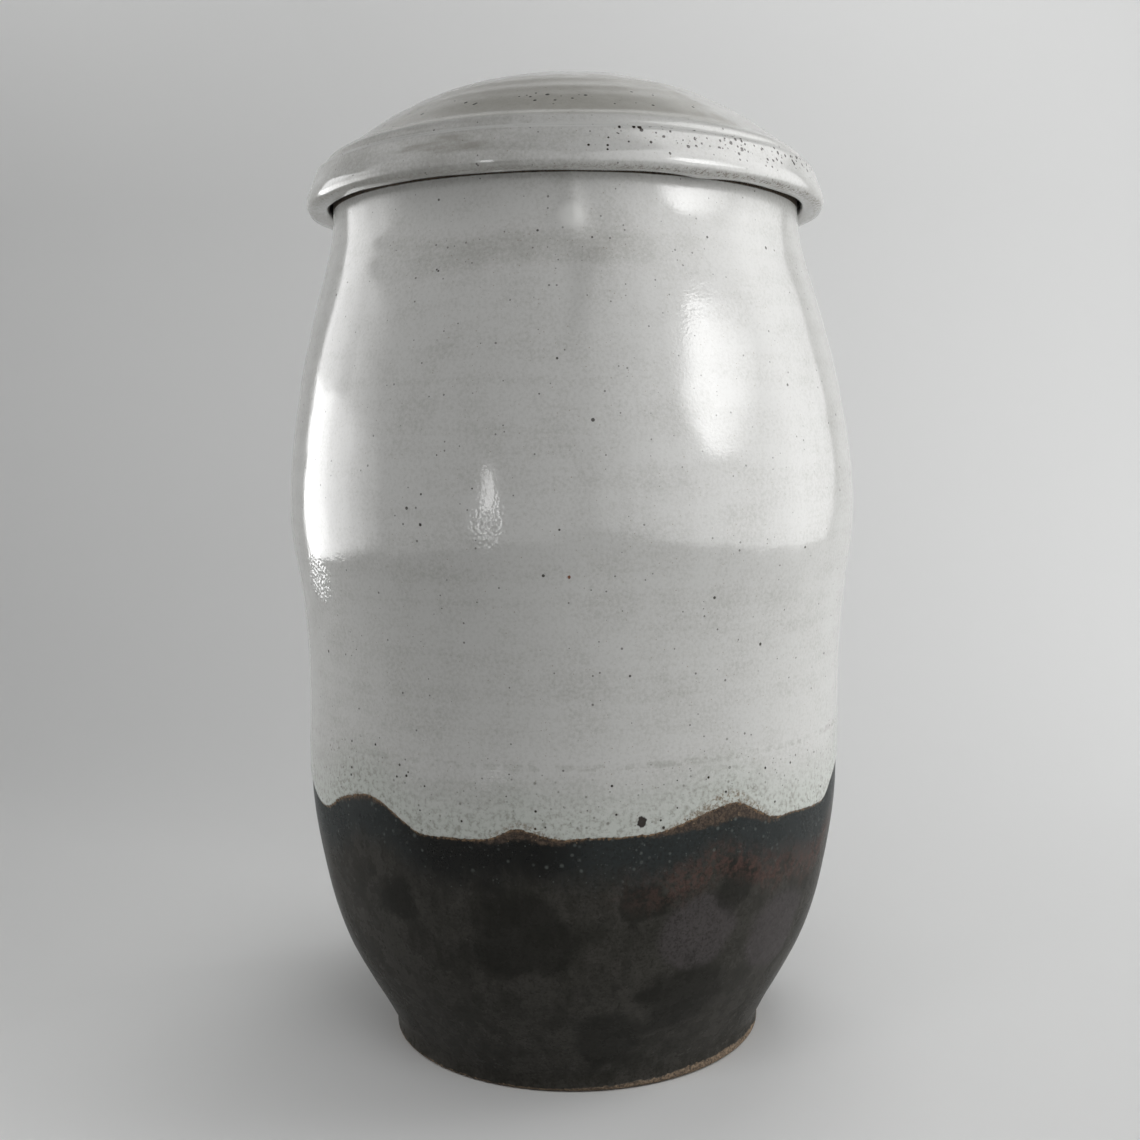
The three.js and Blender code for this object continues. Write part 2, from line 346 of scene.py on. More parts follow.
def make_crock():
    """The crock, with its height above the glaze line and above the bare clay kept at each point."""
    radius, height, zone = crock_rows()
    angle = np.broadcast_to(angles, radius.shape)
    radius, height = pushed_out(radius, height, crock_relief(zone, radius, height, angle))
    is_wall = zone == OUTER_WALL
    below, far_above = -5, 60
    above_glaze = np.where(is_wall, height - glaze_line(angle), far_above)
    elsewhere = np.where(zone == UNDERSIDE, below, far_above)
    above_clay = np.where(is_wall, height - clay_line(angle), elsewhere)
    # The collar's top, just under the lid's lip, is bare clay, which the crock's material paints
    # nearly black as the shade in the gap there. Its edge follows the lid's droop.
    gallery_radius, gallery_height = GALLERY
    gallery_edge = gallery_height - 0.7 * np.sin(np.radians(angle))
    is_collar = (radius > gallery_radius) & (zone != UNDERSIDE)
    above_clay = np.minimum(above_clay, np.where(is_collar, gallery_edge - height, far_above))
    fields = {
        "above_glaze": above_glaze,
        "above_clay": above_clay,
        "rust_width": rust_width(angle) * is_wall,
    }
    return turned_mesh("crock_body", np.maximum(radius, 0), height, fields)


# ------------------------------------------------------------------ lid

def lid_rows():
    """Radius and height of the lid's rows, and whether they are on its upper face."""
    outline = rounded(cad_section("lid", LID_SLICE))
    lip = outline[:, 0].argmax()
    underside = spaced(outline[: lip + 1], 1.7)[:-1]
    upper_face = spaced(outline[lip:], 1.1)
    rows = np.vstack([underside, upper_face])
    is_upper = np.repeat([False, True], [len(underside), len(upper_face)])
    return all_round(rows[:, 0]), all_round(rows[:, 1]), all_round(is_upper)


def lid_relief(angle, height, radius, lip_height):
    """How far the lid's upper face stands proud of its smooth outline."""
    up = height - lip_height
    ridge_radius, ridge_height = RIDGE
    inward = np.sign(ridge_radius - radius)
    along = np.hypot(radius - ridge_radius, up - ridge_height) * inward
    hollows = -1.1 * bell(along, 2.6, 1.6) - 0.2 * bell(along, -4.2, 2.2)
    ridge = 0.6 * bell(along, 0, 0.7) + hollows
    spiral = np.sin(2 * np.pi * radius / 7.5 + np.radians(angle))
    rings = 0.08 * spiral * (1 - step_up(radius, 60, 72))
    flat_ring = 0.12 * bell(radius, 52, 3.5) - 0.14 * bell(radius, 45, 3)
    uneven = 0.22 * wander(angle, radius, 46, 11) + 0.05 * wander(angle, radius, 14, 12)
    band_line = 0.2 * bell(up, 4.2, 1.6)
    return ridge + rings + flat_ring + uneven * step_up(radius, 3, 20) + band_line


def gas_notches(angle, height, radius, low):
    """How far the skirt's lower edge is raised at the three notches, at 90, 210 and 330 degrees."""
    half_width, notch_height = NOTCH
    from_notch = (angle - 30) % 120 - 60
    arc = from_notch * math.pi / 180 * radius
    arch = notch_height * np.sqrt(np.clip(1 - (arc / half_width) ** 2, 0, 1))
    return arch * (1 - step_up(height - low, 2, 9))


def chip(angle, height, radius, lip_height):
    """How deep the chip in the lip's lower edge is."""
    centre, width, depth = CHIP
    near_lip = (radius > 79.5) * (1 - step_up(height - lip_height, 0.2, 3))
    return depth * bell(turn_apart(angle, centre), 0, width) * near_lip * bell(radius, 81, 2.2)


def make_lid():
    """The lid, drooping a little and more on the right, with its height above the lip kept at each
    point."""
    radius, height, is_upper = lid_rows()
    angle = np.broadcast_to(angles, radius.shape)
    low = height.min()
    lip_height = height[radius > 85].min()
    upper = lid_relief(angle, height, radius, lip_height)
    upper = upper * step_up(height - lip_height, 0.5, 3)
    under = 0.12 * wander(angle, radius, 30, 13) * step_up(radius, 3, 12)
    radius, height = pushed_out(radius, height, np.where(is_upper, upper, under))
    is_skirt = ~is_upper & (height < lip_height - 1)
    height += np.where(is_skirt, gas_notches(angle, height, radius, low), 0)
    height -= chip(angle, height, radius, lip_height)
    above_lip = height - lip_height
    droop = 0.7 + 0.7 * np.sin(np.radians(angle))
    height -= droop * step_up(radius, 74, 82)
    # The channel's bare clay is painted nearly black by the lid's material, as the shade in the gap
    # over the crock's collar.
    in_channel = (radius > SKIRT_OUTSIDE - 1) & (radius < CHANNEL_OUTSIDE)
    bare_shaded_channel = ~is_upper & in_channel & (height > lip_height + 1.5)
    fields = {"above_lip": above_lip, "bare_shaded_channel": bare_shaded_channel.astype(float)}
    return turned_mesh("lid_shell", np.maximum(radius, 0), height, fields)


# ------------------------------------------------------------------ weights

def softened_copy(node):
    """A copy of a CAD node with softly rounded edges."""
    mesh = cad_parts[node].data.copy()
    mesh.name = node + "_clay"
    piece = bpy.data.objects.new(node + "_clay", mesh)
    pottery.objects.link(piece)
    remesh = piece.modifiers.new("even", "REMESH")
    remesh.mode = "VOXEL"
    remesh.voxel_size = 1.3 * MM
    smooth = piece.modifiers.new("soft", "SMOOTH")
    smooth.iterations = 5
    bpy.context.view_layer.update()
    evaluated = piece.evaluated_get(bpy.context.evaluated_depsgraph_get())
    made = bpy.data.meshes.new_from_object(evaluated)
    piece.modifiers.clear()
    piece.data = made
    made.shade_smooth()
    made.materials.clear()
    return piece


def make_weight(node, seed):
    """A half-moon weight whose flat faces have the slight unevenness of cut clay."""
    piece = softened_copy(node)
    points = np.empty(len(piece.data.vertices) * 3, np.float32)
    piece.data.vertices.foreach_get("co", points)
    points = points.reshape(-1, 3)
    x, y, z = (points[:, k] / MM for k in range(3))
    from_middle = z - (z.min() + z.max()) / 2
    rng = np.random.default_rng(seed)
    steepest = 0.16
    uneven = 0
    for _ in range(8):
        slope_x = rng.uniform(-steepest, steepest)
        slope_y = rng.uniform(-steepest, steepest)
        uneven = uneven + np.cos(x * slope_x + y * slope_y + rng.uniform(0, 6.3))
    inward = -0.07 * (uneven + 4) / 4
    on_flats = step_up(np.abs(from_middle), 5, 8.5)
    points[:, 2] += (np.sign(from_middle) * inward * on_flats * MM).astype(np.float32)
    piece.data.vertices.foreach_set("co", points.ravel())
    return piece


# ------------------------------------------------------------------ shader helpers

class Shader:
    """A material's node tree, with a short call for each kind of node used here. Textures read the
    piece's own coordinates in millimetres."""

    def __init__(self, name):
        self.material = bpy.data.materials.new(name)
        self.material.use_nodes = True
        self.nodes = self.material.node_tree.nodes
        self.links = self.material.node_tree.links
        self.nodes.clear()
        metres = self.add("TexCoord").outputs["Object"]
        millimetres = self.add("VectorMath", {"operation": "SCALE"}, Vector=metres, Scale=1 / MM)
        self.place = millimetres.outputs[0]

    def add(self, kind, settings=None, **inputs):
        """A new node with those settings. An input is a value or another node's output."""
        node = self.nodes.new("ShaderNode" + kind)
        for key, value in (settings or {}).items():
            setattr(node, key, value)
        for key, value in inputs.items():
            self.put(node.inputs[key.replace("_", " ")], value)
        return node

    def put(self, socket, value):
        if isinstance(value, bpy.types.NodeSocket):
            self.links.new(value, socket)
        else:
            socket.default_value = value

    def math(self, operation, *values):
        node = self.add("Math", {"operation": operation})
        for socket, value in zip(node.inputs, values):
            self.put(socket, value)
        return node.outputs[0]

    def times(self, a, b):
        return self.math("MULTIPLY", a, b)

    def plus(self, a, b):
        return self.math("ADD", a, b)

    def times_plus(self, a, factor, addend):
        return self.math("MULTIPLY_ADD", a, factor, addend)

    def larger(self, a, b):
        return self.math("MAXIMUM", a, b)

    def ramp(self, value, low, high, to_low=0.0, to_high=1.0):
        """A smooth step from to_low, at low, to to_high, at high."""
        return self.add(
            "MapRange", {"interpolation_type": "SMOOTHSTEP"},
            Value=value, From_Min=low, From_Max=high, To_Min=to_low, To_Max=to_high,
        ).outputs[0]

    def mix(self, amount, a, b):
        """The colour that goes from a to b with amount."""
        node = self.add("Mix", {"data_type": "RGBA"})
        factor, first, second = 0, 6, 7  # the node's sockets for colours
        for index, value in ((factor, amount), (first, a), (second, b)):
            if isinstance(value, tuple):
                value = (*value, 1.0)
            self.put(node.inputs[index], value)
        return node.outputs[2]

    def stretched(self, x, y, z):
        """The coordinates scaled along each axis, for long drawn-out noise."""
        node = self.add("VectorMath", {"operation": "MULTIPLY"})
        self.put(node.inputs[0], self.place)
        self.put(node.inputs[1], (x, y, z))
        return node.outputs[0]

    def noise(self, size, detail=2.0, seed=0.0, vector=None, rough=0.5):
        """Noise from 0 to 1, with lumps about size mm across."""
        shifted = self.add("VectorMath", {"operation": "ADD"})
        self.put(shifted.inputs[0], vector or self.place)
        self.put(shifted.inputs[1], (seed * 17.3, seed * 11.9, seed * 23.1))
        return self.add(
            "TexNoise", None,
            Vector=shifted.outputs[0], Scale=1 / size, Detail=detail, Roughness=rough,
        ).outputs[0]

    def attribute(self, name):
        """A number kept at each of the mesh's points."""
        return self.add("Attribute", {"attribute_name": name}).outputs["Fac"]

    def specks(self, spacing, share, radius, seed, soft=0.5):
        """Round spots of up to that radius: 1 inside, 0 outside. Their places lie about spacing
        apart, and share is the part of the places that holds one."""
        shifted = self.add("VectorMath", {"operation": "ADD"})
        self.put(shifted.inputs[0], self.place)
        self.put(shifted.inputs[1], (seed * 7.1, seed * 3.7, seed * 5.3))
        cell = self.add(
            "TexVoronoi", {"feature": "F1"}, Vector=shifted.outputs[0], Scale=1 / spacing
        )
        parts = self.add("SeparateColor", None, Color=cell.outputs["Color"])
        here = self.math("LESS_THAN", parts.outputs[0], share)
        size = self.times_plus(parts.outputs[1], radius * 0.75, radius * 0.25)
        ratio = self.math("DIVIDE", self.times(cell.outputs["Distance"], spacing), size)
        return self.times(self.ramp(ratio, 1.0, soft), here)

    def blot(self, centre, size, warp=0.0, soft=0.5):
        """1 within size of a point in mm, with a wandering edge."""
        away = self.add("VectorMath", {"operation": "DISTANCE"})
        self.put(away.inputs[0], self.place)
        self.put(away.inputs[1], centre)
        distance = away.outputs["Value"]
        if warp:
            distance = self.times_plus(self.noise(size * 0.9, 4, centre[0]), -2 * warp, distance)
            distance = self.plus(distance, warp)
        return self.ramp(distance, size, size * soft)

    def plain(self, colour, roughness):
        """A matt material of one colour."""
        shader = self.add(
            "BsdfPrincipled", None,
            Base_Color=(*colour, 1), Roughness=roughness, Specular_IOR_Level=0.0,
        )
        self.add("OutputMaterial", None, Surface=shader.outputs[0])
        return self.material

    def finish(self, colour, roughness, bump_mm, specular=0.5):
        """The material with that colour, roughness, height of bump and strength of gloss."""
        bump = self.add("Bump", None, Height=bump_mm, Distance=MM)
        shader = self.add(
            "BsdfPrincipled", None,
            Base_Color=colour, Roughness=roughness, Normal=bump.outputs[0],
            Specular_IOR_Level=specular,
        )
        self.add("OutputMaterial", None, Surface=shader.outputs[0])
        return self.material


def on_wall(angle, height):
    """The point of the crock's outer wall at that angle and height."""
    radius = np.interp(height, wall_outline[:, 1], wall_outline[:, 0])
    a = math.radians(angle)
    return (radius * math.sin(a), -radius * math.cos(a), height)


# ------------------------------------------------------------------ colours, as linear RGB

WHITE = (0.545, 0.545, 0.53)
WHITE_THIN = (0.365, 0.36, 0.337)
WHITE_GREEN = (0.475, 0.50, 0.463)
WHITE_THICK_AND_HIGHLIGHT = (0.66, 0.66, 0.64)
CURDLED_GREY = (0.27, 0.275, 0.24)
BARE_GREY = (0.255, 0.245, 0.215)
PALE_GREY = (0.36, 0.35, 0.31)
SPECK = (0.022, 0.016, 0.012)
PIT = (0.105, 0.10, 0.08)
TAN = (0.22, 0.175, 0.12)
RED_MARK = (0.18, 0.065, 0.03)
ORANGE_MARK = (0.3, 0.09, 0.03)
LIP_BROWN = (0.13, 0.10, 0.07)

RUST_DARK = (0.042, 0.031, 0.024)
RUST_BROWN = (0.115, 0.08, 0.056)
RUST_ORANGE = (0.21, 0.135, 0.075)
RUST_CRUMB = (0.30, 0.21, 0.125)
RUST_IN_WHITE = (0.165, 0.12, 0.075)

IRON_DARK = (0.025, 0.024, 0.020)
IRON = (0.046, 0.0435, 0.038)
IRON_STREAK = (0.056, 0.052, 0.047)
IRON_GRAIN = (0.010, 0.009, 0.007)
PURPLE = (0.062, 0.055, 0.056)
SMUDGE = (0.0095, 0.0095, 0.0075)
RED_BROWN = (0.085, 0.046, 0.038)
BLUE_BLACK = (0.019, 0.0235, 0.024)
BLACKEST = (0.0018, 0.0024, 0.0022)
CRYSTAL = (0.13, 0.145, 0.135)
SPARK = (0.3, 0.3, 0.28)

CLAY_DARK = (0.035, 0.025, 0.017)
CLAY_BROWN = (0.20, 0.145, 0.095)
CLAY_SPECK = (0.02, 0.014, 0.01)
# Painted shade: near-black for the bare clay in the gap between the lid's lip and the crock's collar
GALLERY_PAINTED_SHADE = (0.007, 0.006, 0.005)
CHANNEL_PAINTED_SHADE = (0.008, 0.007, 0.006)


# ------------------------------------------------------------------ patches and marks on the wall

# Single marks on the white glaze, as (angle, height, size, colour)
MARKS = [
    (12.3, 95.6, 1.8, SPECK), (-0.3, 168.9, 0.62, RED_MARK), (-26.5, 184, 0.6, SPECK),
    (44.5, 170, 0.55, SPECK), (-150, 140, 0.9, SPECK), (118, 205, 0.8, ORANGE_MARK),
]
# Where the white glaze is crinkled and sparkles, as (angle, height, size)
SPARKLING = [(-14, 183, 9.5), (-58, 166, 12), (122, 170, 12)]
# Patches in the dark glaze, as (angle, height, size, how far the edge wanders)
DARK_SMUDGES = [
    (-11, 59, 19, 13), (24, 36, 17, 14), (-38, 68, 9, 9), (33, 72, 10, 9), (13, 70, 8, 9),
    (8, 20, 14, 12), (110, 52, 19, 14), (170, 66, 18, 14), (-120, 48, 18, 14), (-75, 30, 14, 12),
]
PURPLE_PATCHES = [(25, 58, 15, 5), (48, 50, 16, 6), (-140, 40, 16, 6), (140, 62, 18, 7)]


# ------------------------------------------------------------------ places and masks in a shader

def height_of(s):
    """Height above the surface that the crock stands on."""
    return s.add("SeparateXYZ", None, Vector=s.place).outputs[2]


def distance_of(s):
    """Distance from the axis."""
    parts = s.add("SeparateXYZ", None, Vector=s.place)
    x, y = parts.outputs[0], parts.outputs[1]
    return s.math("SQRT", s.plus(s.times(x, x), s.times(y, y)))


def turn_of(s):
    """Angle from the front, in degrees."""
    parts = s.add("SeparateXYZ", None, Vector=s.place)
    turn = s.math("ARCTAN2", parts.outputs[0], s.times(parts.outputs[1], -1.0))
    return s.times(turn, 180 / math.pi)


def near(s, value, centre, reach, soft=0.5):
    """1 within reach of the centre, falling to 0 over the soft part of the reach."""
    gap = s.math("ABSOLUTE", s.math("SUBTRACT", value, centre))
    return s.ramp(gap, reach, reach * (1 - soft))


def blend(s, amount, low, high):
    """A number that goes from low to high with amount."""
    return s.plus(s.times(amount, high), s.times(s.math("SUBTRACT", 1.0, amount), low))


# ------------------------------------------------------------------ glazes

def white_glaze(s, share, thin, dimples=0.028):
    """Colour, roughness and bump of the speckled white glaze. share is how thick the specks lie,
    and thin is where the glaze is thin and the clay shows through; below 0 it makes the glaze
    lighter, which the lid uses for a painted highlight. dimples is how deep they are."""
    # Tone: clouds, bands round the pot, grain, and the clay showing through
    clouds = s.ramp(s.noise(13, 5, 1.0), 0.36, 0.66)
    bands = s.ramp(s.noise(1, 2, 2.0, s.stretched(0.016, 0.016, 0.20)), 0.36, 0.68)
    grain = s.noise(1.0, 3, 3.0, rough=0.7)
    tone = s.times_plus(clouds, 0.2, s.times(bands, 0.17))
    tone = s.plus(s.times_plus(grain, 1.7, -0.8), s.plus(tone, thin))
    colour = s.mix(s.ramp(tone, -0.1, 1.2), WHITE, WHITE_THIN)
    # Specks of three sizes
    fine = s.specks(1.2, s.times(share, 1.6), 0.25, 14)
    small = s.specks(2.2, share, 0.44, 2, 0.7)
    large = s.specks(5.0, s.times(share, 0.6), 0.64, 23, 0.78)
    colour = s.mix(s.times(fine, 0.6), colour, TAN)
    dark = s.larger(s.times(small, 0.65), s.times(large, 0.9))
    colour = s.mix(dark, colour, SPECK)
    # Gloss, and the slight waves and dimples of a melted surface
    rough = s.times_plus(s.noise(9, 1, 4.0), 0.08, 0.06)
    peel = s.times(s.noise(0.8, 1, 6.0), dimples)
    height = s.times_plus(s.noise(5.5, 0, 5.0), 0.04, peel)
    return colour, rough, height


def crock_white_glaze(s, above, z, turn):
    """The white glaze on the crock. It is thin and speckled at the neck and in a low band, greenish
    and curdled near its edge, and thick and whiter in the drop, the whiteness partly a painted
    highlight."""
    # Thin at the neck, in the low band and along the first dip's line
    low_band = s.ramp(s.times_plus(s.noise(7, 3, 9.0), 8, s.plus(above, -4)), 23, 15)
    neck = s.times(near(s, z, NECK_LINE, 8, 0.9), near(s, turn, -6, 48, 0.7))
    share = s.times_plus(low_band, 0.42, s.times_plus(neck, 0.6, 0.22))
    dashes = s.ramp(s.noise(3.5, 2, 11.0), 0.42, 0.58)
    dip = s.times(near(s, z, DIP_LINE, 1.3), dashes)
    thin = s.plus(s.times(neck, 0.42), s.times(dip, 0.35))
    thin = s.times_plus(low_band, 0.1, thin)
    colour, rough, height = white_glaze(s, share, thin)

    # Greenish, curdled and pitted above its edge
    green = s.times(s.ramp(above, 22, 0), 0.85)
    curdled = s.ramp(s.noise(1.5, 5, 12.0, rough=0.65), 0.44, 0.66)
    colour = s.mix(green, colour, s.mix(curdled, WHITE_GREEN, CURDLED_GREY))
    wide_pits = s.specks(2.9, s.times(low_band, 0.6), 0.7, 7, 0.3)
    small_pits = s.specks(2.0, s.times(low_band, 0.45), 0.34, 5, 0.7)
    colour = s.mix(s.times(s.larger(wide_pits, small_pits), 0.6), colour, PIT)
    colour = s.mix(s.specks(2.8, s.times(low_band, 0.6), 0.56, 6, 0.7), colour, SPECK)
    pitting = s.times(s.ramp(above, 23, 15), 0.06)
    height = s.times_plus(s.noise(0.9, 2, 13.0), pitting, height)

    # Single places
    for angle, level, size in SPARKLING:
        crinkle = s.times(s.blot(on_wall(angle, level), size, 3, 0.3), 0.16)
        height = s.times_plus(s.noise(1.0, 0, 17.0), crinkle, height)
    for angle, level, size, tint in MARKS:
        colour = s.mix(s.blot(on_wall(angle, level), size, 0.6 * size, 0.75), colour, tint)
    # Partly painted highlight: the drop is coloured a brighter white, for its thick glaze and for
    # the shine on its bulge.
    drop_angle, drop_height = DRIP[:2]
    drop = s.blot(on_wall(drop_angle, drop_height), 5.5, soft=0.35)
    return s.mix(drop, colour, WHITE_THICK_AND_HIGHLIGHT), rough, height


def rust_over(s, dark_colour, above):
    """The dark glaze with rusty clay showing just under the white glaze's edge."""
    wide = s.plus(above, s.attribute("rust_width"))
    patchy = s.times_plus(s.noise(2.4, 4, 21.0, rough=0.7), 3.6, s.plus(wide, -2.1))
    mottle = s.ramp(s.noise(0.9, 3, 20.0, rough=0.7), 0.42, 0.64)
    brown = s.mix(mottle, RUST_DARK, RUST_BROWN)
    colour = s.mix(s.times(s.ramp(patchy, -0.6, 0.8), 0.8), dark_colour, brown)
    broken = s.ramp(s.noise(1.1, 3, 22.0, rough=0.7), 0.42, 0.56)
    rim = s.times(s.ramp(above, -0.95, -0.35), broken)
    colour = s.mix(s.times(rim, 0.85), colour, RUST_ORANGE)
    crumbs = s.times(s.specks(1.2, 0.4, 0.34, 4, 0.6), s.ramp(wide, -0.9, 0.3))
    return s.mix(s.times(crumbs, 0.6), colour, RUST_CRUMB)


def overlap_band(s, colour, above, turn):
    """The dark glaze's colour with the blue-black band where the white lies over it, which runs
    down unevenly and has crystals in it, and the reddish patches below. Gives the band too."""
    level = s.times_plus(s.noise(12, 4, 43.0), 10, s.plus(above, -8))
    runs = s.noise(1, 4, 46.0, s.stretched(0.55, 0.55, 0.09), 0.7)
    level = s.times_plus(runs, 9, s.plus(level, -1.5))
    red_belt = s.times(s.ramp(level, -27, -19), s.ramp(level, -8, -13))
    red_side = s.larger(near(s, turn, 42, 40, 0.6), near(s, turn, -150, 50, 0.6))
    red_spots = s.ramp(s.noise(2.2, 4, 42.0, rough=0.7), 0.4, 0.6)
    red = s.times(s.times(red_belt, red_side), red_spots)
    colour = s.mix(s.times(red, 0.75), colour, RED_BROWN)
    blackest = s.larger(near(s, turn, -17, 24, 0.6), near(s, turn, 150, 60, 0.6))
    band = s.ramp(level, -19, -8)
    colour = s.mix(s.times(band, 0.93), colour, s.mix(blackest, BLUE_BLACK, BLACKEST))
    large = s.specks(2.6, s.times(band, 0.85), 0.95, 8, 0.3)
    small = s.specks(1.4, s.times(band, 0.7), 0.32, 10, 0.5)
    colour = s.mix(s.times(s.larger(large, small), 0.5), colour, CRYSTAL)
    return colour, band


def dark_glaze(s, above, turn):
    """The satin iron glaze: brown-black, blue-black under the white, reddish in patches. Gives
    colour, roughness, bump and gloss."""
    mottle = s.noise(11, 6, 40.0, rough=0.68)
    grain = s.noise(1.0, 3, 45.0, rough=0.75)
    colour = s.mix(s.ramp(mottle, 0.34, 0.68), IRON_DARK, IRON)
    streaks = s.noise(1, 4, 41.0, s.stretched(0.30, 0.30, 0.045))
    colour = s.mix(s.times(s.ramp(streaks, 0.45, 0.66), 0.4), colour, IRON_STREAK)
    for angle, level, size, warp in PURPLE_PATCHES:
        purple = s.times(s.blot(on_wall(angle, level), size, warp, 0.7), 0.7)
        colour = s.mix(purple, colour, PURPLE)
    for angle, level, size, warp in DARK_SMUDGES:
        smudge = s.times(s.blot(on_wall(angle, level), size, 1.1 * warp, 0.6), 0.62)
        colour = s.mix(smudge, colour, SMUDGE)
    colour, band = overlap_band(s, colour, above, turn)
    colour = s.mix(s.times(s.specks(6.5, 0.1, 0.4, 12, 0.6), 0.7), colour, SPARK)
    colour = s.mix(s.ramp(grain, 0.42, 0.7, 0, 0.6), colour, IRON_GRAIN)
    rough = s.times_plus(mottle, 0.2, 0.17)
    height = s.times_plus(grain, 0.02, s.times(s.noise(3.0, 1, 44.0), 0.04))
    facing = s.add("LayerWeight", None, Blend=0.5).outputs["Facing"]
    gloss = s.times(blend(s, band, 0.09, 0.15), s.ramp(facing, 0.35, 0.8, 1.0, 0.12))
    return colour, rough, height, gloss


def bare_clay(s):
    """Colour and bump of unglazed clay."""
    grit = s.noise(0.8, 4, 50.0, rough=0.7)
    colour = s.mix(s.ramp(grit, 0.36, 0.66), CLAY_DARK, CLAY_BROWN)
    colour = s.mix(s.specks(1.6, 0.5, 0.4, 9), colour, CLAY_SPECK)
    return colour, s.times(grit, 0.15)


# ------------------------------------------------------------------ materials

def crock_material():
    """White over dark glaze with rust along the edge, and bare clay at the foot and the gallery.
    The gallery's clay is painted nearly black, as the shade in the gap under the lid.
    """
    s = Shader("crock_glazes")
    above = s.attribute("above_glaze")
    z = height_of(s)
    turn = turn_of(s)
    colour, rough, height = crock_white_glaze(s, above, z, turn)
    dark_colour, dark_rough, dark_height, dark_gloss = dark_glaze(s, above, turn)

    # The white glaze's edge, jagged and rusty
    jagged = s.times_plus(s.noise(1.5, 4, 10.0, rough=0.7), 2.0, s.plus(above, -1.0))
    is_white = s.ramp(jagged, -0.1, 0.1)
    rusty = s.times(s.ramp(s.math("SUBTRACT", s.attribute("rust_width"), above), 0.6, 2.2), 0.8)
    rusty = s.times(s.ramp(s.noise(1.3, 4, 16.0, rough=0.7), 0.46, 0.6), rusty)
    colour = s.mix(rusty, colour, RUST_IN_WHITE)
    colour = s.mix(is_white, rust_over(s, dark_colour, jagged), colour)
    rough = blend(s, is_white, dark_rough, rough)
    height = blend(s, is_white, dark_height, height)
    gloss = blend(s, is_white, dark_gloss, 0.5)

    # Bare clay, with a ragged edge at the foot
    ragged = s.times(s.plus(s.noise(1.8, 4, 30.0), -0.5), s.ramp(z, 60, 30, 0.25, 2.0))
    is_glaze = s.ramp(s.plus(s.attribute("above_clay"), ragged), -0.2, 0.2)
    clay_colour, clay_height = bare_clay(s)
    # Painted shade: the gallery's bare clay, above 280 mm, is darkened towards near-black for the
    # shade in the gap under the lid's lip.
    painted_gap_shade = s.times(s.ramp(z, 280, 281), 0.6)
    clay_colour = s.mix(painted_gap_shade, clay_colour, GALLERY_PAINTED_SHADE)
    colour = s.mix(is_glaze, clay_colour, colour)
    rough = blend(s, is_glaze, 0.8, rough)
    height = blend(s, is_glaze, clay_height, height)
    gloss = blend(s, is_glaze, 0.2, gloss)
    return s.finish(colour, rough, height, gloss)


def lid_bare_patch(s, away, turn):
    """Where the dome's front has hardly any glaze, with a wandering edge."""
    wander_in = s.times_plus(s.noise(9, 4, 80.0), 12, s.plus(away, -6))
    patch = s.times(s.ramp(wander_in, 47.5, 49.5), s.ramp(away, 81.5, 79.5))
    wander_round = s.times_plus(s.noise(12, 4, 81.0), 30, s.plus(turn, -15))
    return s.times(patch, near(s, wander_round, -5, 48, 0.2))


def lid_smear(s, above, turn):
    """The streaky grey smear on the left of the lid's band."""
    streaky = s.ramp(s.noise(1, 4, 83.0, s.stretched(0.06, 0.06, 0.30)), 0.36, 0.6)
    smear = s.times(streaky, near(s, turn, -27, 15, 0.4))
    return s.times(smear, near(s, above, 8.2, 3.4, 0.4))


def lid_lip_line(s, above, away, turn):
    """The broken brown line along the lip."""
    line = s.times(s.ramp(above, 1.3, 0.3), s.ramp(s.noise(1.0, 4, 84.0, rough=0.7), 0.48, 0.6))
    where = s.times(s.ramp(away, 84.5, 86.5), s.ramp(turn, -20, 40, 0.3, 1.0))
    return s.times(line, where)


def lid_material():
    """Speckled white glaze, worn under the ridge and along the lip, with a painted highlight along
    the ridge's top, and bare clay in the channel, painted nearly black as the shade in the gap.
    """
    s = Shader("lid_glaze")
    above = s.attribute("above_lip")
    away = distance_of(s)
    turn = turn_of(s)
    under_ridge = s.times(s.ramp(above, 3, 11), s.ramp(above, 13.6, 12.2))
    worn = s.times(under_ridge, s.ramp(turn, -4, 16))
    lip_wear = s.ramp(above, 2.8, 0.3)
    share = s.plus(s.times(worn, 1.1), s.times_plus(lip_wear, 0.12, 0.26))
    thin = s.times(near(s, turn, -34, 44, 0.7), 0.34)
    thin = s.times_plus(lip_wear, 0.3, thin)
    # Painted highlight: thin goes below 0 along the ridge's top, which paints a lighter line there.
    thin = s.times_plus(near(s, above, 12.6, 1.1), -0.5, thin)
    colour, rough, height = white_glaze(s, share, thin, 0.014)

    patch = lid_bare_patch(s, away, turn)
    greys = s.mix(s.noise(3, 4, 82.0), BARE_GREY, PALE_GREY)
    colour = s.mix(s.times(patch, 0.75), colour, greys)
    pepper = s.specks(2.9, s.times(near(s, away, 70, 6, 0.6), patch), 0.8, 85, 0.7)
    pepper = s.larger(pepper, s.specks(1.8, s.times(worn, 0.95), 0.80, 86, 0.8))
    colour = s.mix(pepper, colour, SPECK)
    colour = s.mix(s.times(lid_smear(s, above, turn), 0.7), colour, BARE_GREY)
    colour = s.mix(s.times(lid_lip_line(s, above, away, turn), 0.75), colour, LIP_BROWN)

    # Painted shade: the channel's bare clay is mixed three quarters of the way to near-black, for
    # the shade in the gap over the crock's collar.
    clay_colour, _ = bare_clay(s)
    bare_shaded_channel = s.attribute("bare_shaded_channel")
    colour = s.mix(bare_shaded_channel, colour, s.mix(0.75, clay_colour, CHANNEL_PAINTED_SHADE))
    satin = s.times(s.ramp(above, 3.5, 7), 0.10)
    rough = s.times_plus(bare_shaded_channel, 0.5, s.plus(rough, satin))
    return s.finish(colour, rough, height)


